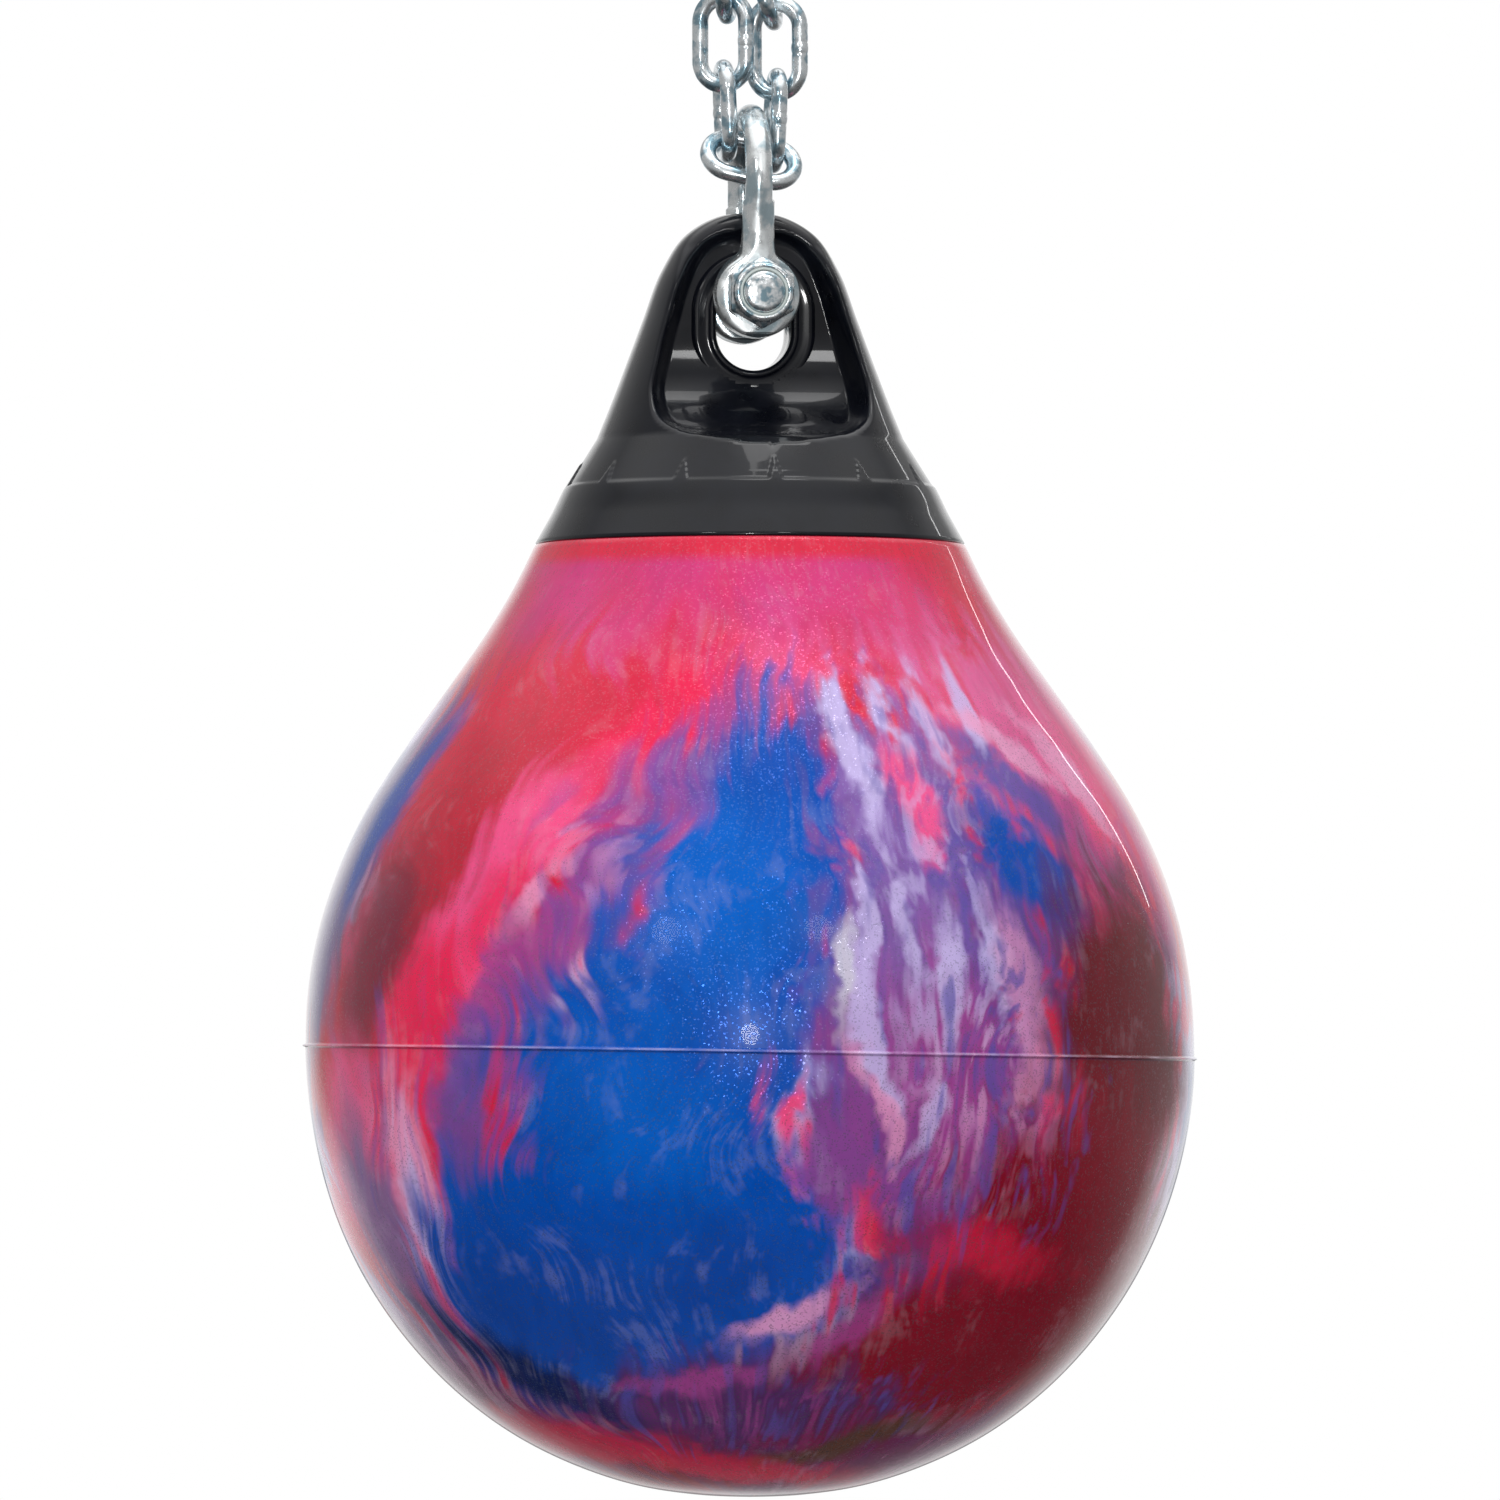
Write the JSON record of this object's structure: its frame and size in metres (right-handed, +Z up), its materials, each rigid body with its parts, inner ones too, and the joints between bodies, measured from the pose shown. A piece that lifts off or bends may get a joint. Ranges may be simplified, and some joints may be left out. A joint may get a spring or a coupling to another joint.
{
  "type": "hanging water punching bag",
  "caption": "Water-filled teardrop punching bag with a moulded eye cap, hung by a bolted bow shackle and a doubled chain from a spring snap hook.",
  "frame": {"origin": "inside of the snap hook's top bend, the point the whole bag hangs from", "axes": "+Z up along the hanging line, +X to the right across the snap hook's loop, +Y to the back"},
  "size_m": [0.3843, 0.3844, 0.7538],
  "materials": {
    "marbled_vinyl": "glossy moulded vinyl with red, magenta and blue marbling and a fine metallic glitter",
    "black_vinyl": "glossy black moulded vinyl",
    "water": "clear water",
    "valve_plastic": "black moulded plastic, satin",
    "seal_rubber": "black rubber",
    "nylon": "pale translucent nylon",
    "zinc_forging": "bright zinc plate over a forged surface",
    "zinc_bolt": "bright blue zinc plate",
    "zinc_chain": "bright blue zinc plate on welded wire",
    "zinc_hook": "bright zinc plate on bent wire",
    "spring_steel": "plain spring steel"
  },
  "bodies": {
    "hook": {"hook_body": "zinc_hook"},
    "gate": {"hook_gate": "zinc_hook", "gate_rivet": "zinc_bolt", "gate_latch_pin": "zinc_bolt", "gate_spring": "spring_steel"},
    "plunger": {"gate_plunger": "zinc_bolt"},
    "upper_links": {"upper_link_left": "zinc_chain", "upper_link_right": "zinc_chain"},
    "middle_links": {"middle_link_left": "zinc_chain", "middle_link_right": "zinc_chain"},
    "lower_links": {"lower_link_left": "zinc_chain", "lower_link_right": "zinc_chain"},
    "cross_link": {"cross_link": "zinc_chain"},
    "shackle": {"shackle_bow": "zinc_forging", "shackle_bolt": "zinc_bolt", "shackle_nut": "zinc_bolt", "nut_insert": "nylon"},
    "bag": {"bag_shell": "marbled_vinyl", "water_fill": "water", "eye_cap": "black_vinyl", "valve_body": "valve_plastic"},
    "valve_seal": {"valve_seal": "seal_rubber"},
    "valve_plug": {"valve_plug": "valve_plastic"}
  },
  "joints": [
    {"name": "gate_hinge", "type": "hinge", "parent": "hook", "child": "gate", "pos_m": [0.02, 0, -0.018], "axis": [0, 1, 0], "range_deg": [0, 24], "stiffness_Nm_per_rad": 0.5, "springref_deg": -28.65},
    {"name": "plunger_press", "type": "slide", "parent": "gate", "child": "plunger", "axis": [0, 0, -1], "range_m": [0, 0.0014], "deforming": ["gate_spring"]},
    {"name": "chain_side_swing", "type": "hinge", "parent": "hook", "child": "upper_links", "pos_m": [0, 0, -0.065], "axis": [0, 1, 0], "range_deg": [-10, 10]},
    {"name": "middle_links_swing", "type": "hinge", "parent": "upper_links", "child": "middle_links", "pos_m": [0, 0, -0.10115], "axis": [1, 0, 0], "range_deg": [-15, 15]},
    {"name": "lower_links_swing", "type": "hinge", "parent": "middle_links", "child": "lower_links", "pos_m": [0, 0, -0.1392], "axis": [1, 0, 0], "range_deg": [-8, 8]},
    {"name": "cross_link_roll", "type": "hinge", "parent": "lower_links", "child": "cross_link", "pos_m": [0, 0, -0.1615], "axis": [0.9744, 0, -0.225], "range_deg": [-10, 10]},
    {"name": "shackle_swing", "type": "hinge", "parent": "cross_link", "child": "shackle", "pos_m": [0, 0, -0.1615], "axis": [0.9744, 0, -0.225], "range_deg": [-5, 5]},
    {"name": "bag_side_swing", "type": "hinge", "parent": "shackle", "child": "bag", "pos_m": [0, 0, -0.2289], "axis": [-0.1392, 0.9903, 0], "range_deg": [-45, 45]},
    {"name": "plug_travel", "type": "slide", "parent": "bag", "child": "valve_seal", "axis": [-0.1217, 0.8661, 0.4848], "range_m": [0, 0.0112]},
    {"name": "plug_turn", "type": "hinge", "parent": "valve_seal", "child": "valve_plug", "pos_m": [-0.01182, 0.08407, -0.3217], "axis": [-0.1217, 0.8661, 0.4848], "range_deg": [0, 1980]}
  ],
  "couplings": [
    {"joint": "plunger_press", "follows": "gate_hinge", "m_per_rad": 0.0031},
    {"joint": "plug_travel", "follows": "plug_turn", "m_per_rad": 0.00031831}
  ]
}
